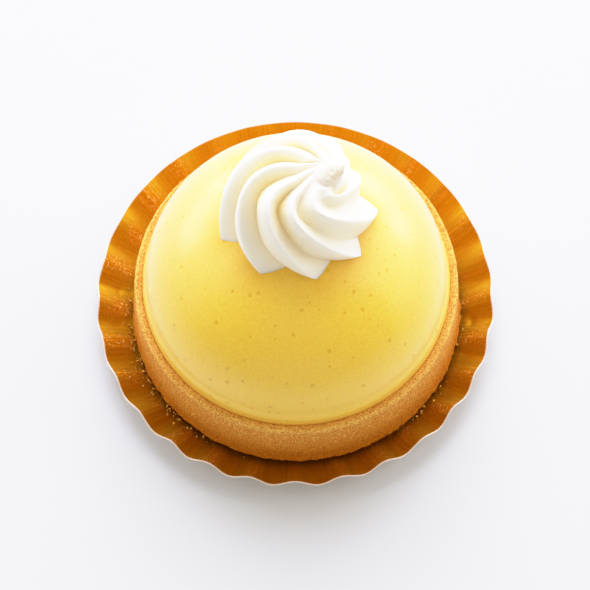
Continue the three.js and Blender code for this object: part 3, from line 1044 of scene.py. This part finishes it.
wall_climb = LAST_CLIMB * np.linspace(0, 1, ROSETTE_ROWS) ** ROW_CROWDING
wall, groove_shade = piped(wall_climb)
foot_ring = wall[0]
middle = np.array([ROSETTE_X, ROSETTE_Y, 0])
under = []
for part in UNDER_RINGS:
    ring = middle + (foot_ring - middle) * part
    ring[:, 2] = on_dome(ring[:, 0], ring[:, 1])
    under.append(ring)
# The torn tip's mark roughens the tip and also steers its painted shade.
torn_and_shaded = every_column(np.clip((wall_climb - TORN_START) / (TORN_FULL - TORN_START), 0, 1), len(own))
uneven = SOFT_DEPTH * rough(wall, SOFT_SIZE) + TORN_DEPTH * torn_and_shaded * rough(wall, TORN_SIZE)
uneven[0] = 0
wall = wall + normals(wall) * uneven[..., None]
tip = wall[-1].mean(0) + TIP
rosette = skin("piped_rosette", np.concatenate([under, wall]), under[0].mean(0), tip)
bare = np.zeros((len(under), len(own)))
paint(rosette, "groove_shade", np.concatenate([bare, groove_shade]), 0.0, 0.0)
paint(rosette, "torn_and_shaded", np.concatenate([bare, torn_and_shaded]), 0.0, 1.0)
print("rosette peak in mm:", (tip / MM).round(1))

# %% [markdown]
# Round the foot of the rosette the dome is deeper yellow: painted shade, with the warm light that
# bounces between cream and dome. It could be a texture, but the ring has to follow the points of the
# rosette. So each point of the dome gets its distance to the rosette's foot, and the filling's
# material, which already reads that number, does the rest.

# %% Painted shade round the cream
CREAM_SHADE_WIDTH = 7 * MM
FOOT_STEP = 8

# Painted shade: the dome gets deeper yellow close to the rosette's foot.
foot_points = foot_ring[::FOOT_STEP, :2]
gaps = np.linalg.norm(filling_grid[:, :, None, :2] - foot_points, axis=-1).min(-1)
paint(filling, "shade_round_cream", np.clip(1 - gaps / CREAM_SHADE_WIDTH, 0, 1) ** 2, 0.0, 0.0)
print("damp ring is", round(CREAM_SHADE_WIDTH / MM), "mm wide")

# %% [markdown]
# Whipped cream is white with a little fat in it: it scatters light deep inside, so shade stays light
# and the grooves between ridges glow warm, with the dome's yellow in them. Scattering in the shader
# gives part of that, but spread far enough for the grooves it would soften the ridges too. So the
# depth of the groove, stored with the mesh, paints that warm shade into the grooves, and the torn tip
# gets painted shade, a little darker.

# %% Rosette finish
CREAM = seen(253, 245, 236)
GROOVE_SHADE_CREAM = seen(255, 228, 160)
TIP_SHADE_CREAM = seen(228, 214, 186)


def whipped_cream():
    """Whipped cream, with painted warm shade in the grooves and painted shade on the torn tip."""
    material, tree, shader, place = fresh_material("whipped_cream")
    airy = grain(tree, place, size=0.5 * MM, detail=3.0)
    # Painted warm shade in the grooves.
    groove_shaded = blend(tree, ramp(tree, stored(tree, "groove_shade"), low=0.0, high=0.95), CREAM, GROOVE_SHADE_CREAM)
    # Painted shade on the torn tip.
    tip_shade = ramp(tree, stored(tree, "torn_and_shaded"), low=0.0, high=1.0, to_high=0.8)
    colour = blend(tree, tip_shade, groove_shaded, TIP_SHADE_CREAM)
    set_even(shader, Roughness=0.42)
    set_even(shader, Subsurface_Weight=0.6, Subsurface_Scale=1.2 * MM)
    set_even(shader, Subsurface_Radius=(1.0, 0.88, 0.6))
    join(tree, shader, Base_Color=colour, Normal=relief(tree, airy, depth=0.03 * MM, strength=0.5))
    return material


finish_piece(rosette, "whipped_cream", [whipped_cream()], "cream_rosette")

# %% [markdown]
# Where the shell was set down, grains of it rubbed off onto the card. They are far too small for the
# solids, but the eye reads them as crumb. An icosphere would look too round, so each is a lump of a
# few rings with its corners pushed about by chance. The seed makes every run give the same lumps.

# %% One crumb
LUMP_RINGS, LUMP_COLUMNS = 3, 6
CORNER_LEAST, CORNER_MOST = 0.55, 1.35
LUMP_POLE = 0.9
CRUMB_SEED = 7
chance = np.random.default_rng(CRUMB_SEED)


def crumb_corners():
    """Corners of one small lump, about 1 from its middle."""
    corners = []
    for row in range(1, LUMP_RINGS + 1):
        tilt = math.pi * row / (LUMP_RINGS + 1)
        for column in range(LUMP_COLUMNS):
            turn = 2 * math.pi * (column + row / 2) / LUMP_COLUMNS
            flat = math.sin(tilt)
            corner = np.array([flat * math.cos(turn), flat * math.sin(turn), math.cos(tilt)])
            corners.append(corner * chance.uniform(CORNER_LEAST, CORNER_MOST))
    return np.array(corners + [(0, 0, LUMP_POLE), (0, 0, -LUMP_POLE)])


def crumb_faces():
    """Triangles between the corners of a lump."""
    top = LUMP_RINGS * LUMP_COLUMNS
    last = (LUMP_RINGS - 1) * LUMP_COLUMNS
    faces = []
    for column in range(LUMP_COLUMNS):
        beside = (column + 1) % LUMP_COLUMNS
        faces.append((top, column, beside))
        for high in range(0, last, LUMP_COLUMNS):
            low = high + LUMP_COLUMNS
            faces.append((high + column, low + column, low + beside))
            faces.append((high + column, low + beside, high + beside))
        faces.append((last + column, top + 1, last + beside))
    return faces


lump_faces = crumb_faces()
print("a crumb has", len(lump_faces), "faces")

# %% [markdown]
# The crumbs lie close to the shell's foot in a few drifts, and small ones are far more common than
# large ones. A particle system could scatter them, but a short loop puts each on the foil and joins
# them all in one mesh. They share the shell's material, with the painted highlight of its crest.

# %% Crumbs on the card
CRUMB_COUNT = 150
CRUMB_SMALLEST = 0.12 * MM
CRUMB_LARGEST = 0.40 * MM
SMALL_BIAS = 3
DRIFTS = [math.radians(angle) for angle in (188, 205, 355, 225, 320)]
DRIFT_SPREAD = 0.16
STRAY = 1.1 * MM
SQUEEZE = (0.7, 1.3)
FLATNESS = 0.8
MIDDLE_HEIGHT = 0.6


def card_top(distance):
    """Height of the foil at a distance from the card's middle, without its flutes."""
    out = np.clip((distance - CARD_FLAT) / (CARD_RADIUS - CARD_FLAT), 0, 1)
    return CARD_BOARD + CARD_RISE * out ** CARD_CURVE


points, faces = [], []
for _ in range(CRUMB_COUNT):
    size = CRUMB_SMALLEST + (CRUMB_LARGEST - CRUMB_SMALLEST) * chance.random() ** SMALL_BIAS
    angle = chance.choice(DRIFTS) + chance.normal(0, DRIFT_SPREAD)
    away = shell_foot + size + abs(chance.normal(0, STRAY))
    x = tart_x + away * math.cos(angle)
    y = tart_y + away * math.sin(angle)
    lump = crumb_corners() * (size, size * chance.uniform(*SQUEEZE), size * FLATNESS)
    spot = np.array([x, y, card_top(math.hypot(x, y)) + MIDDLE_HEIGHT * size])
    first = sum(map(len, points))
    points.append(lump + spot)
    faces += [tuple(first + corner for corner in face) for face in lump_faces]
crumb_mesh = bpy.data.meshes.new("crumbs")
crumb_mesh.from_pydata(np.vstack(points).tolist(), [], faces)
crumb_mesh.shade_smooth()
# Climb 1 gives the crumbs the crest's painted highlight, and sand 1 keeps the painted hollow shade off
# them.
for name in ("climb", "sand"):
    layer = crumb_mesh.attributes.new(name, "FLOAT", "POINT")
    layer.data.foreach_set("value", np.ones(len(crumb_mesh.vertices)))
crumbs = bpy.data.objects.new("crumbs", crumb_mesh)
bpy.context.collection.objects.link(crumbs)
finish_piece(crumbs, "shortcrust", [crust])
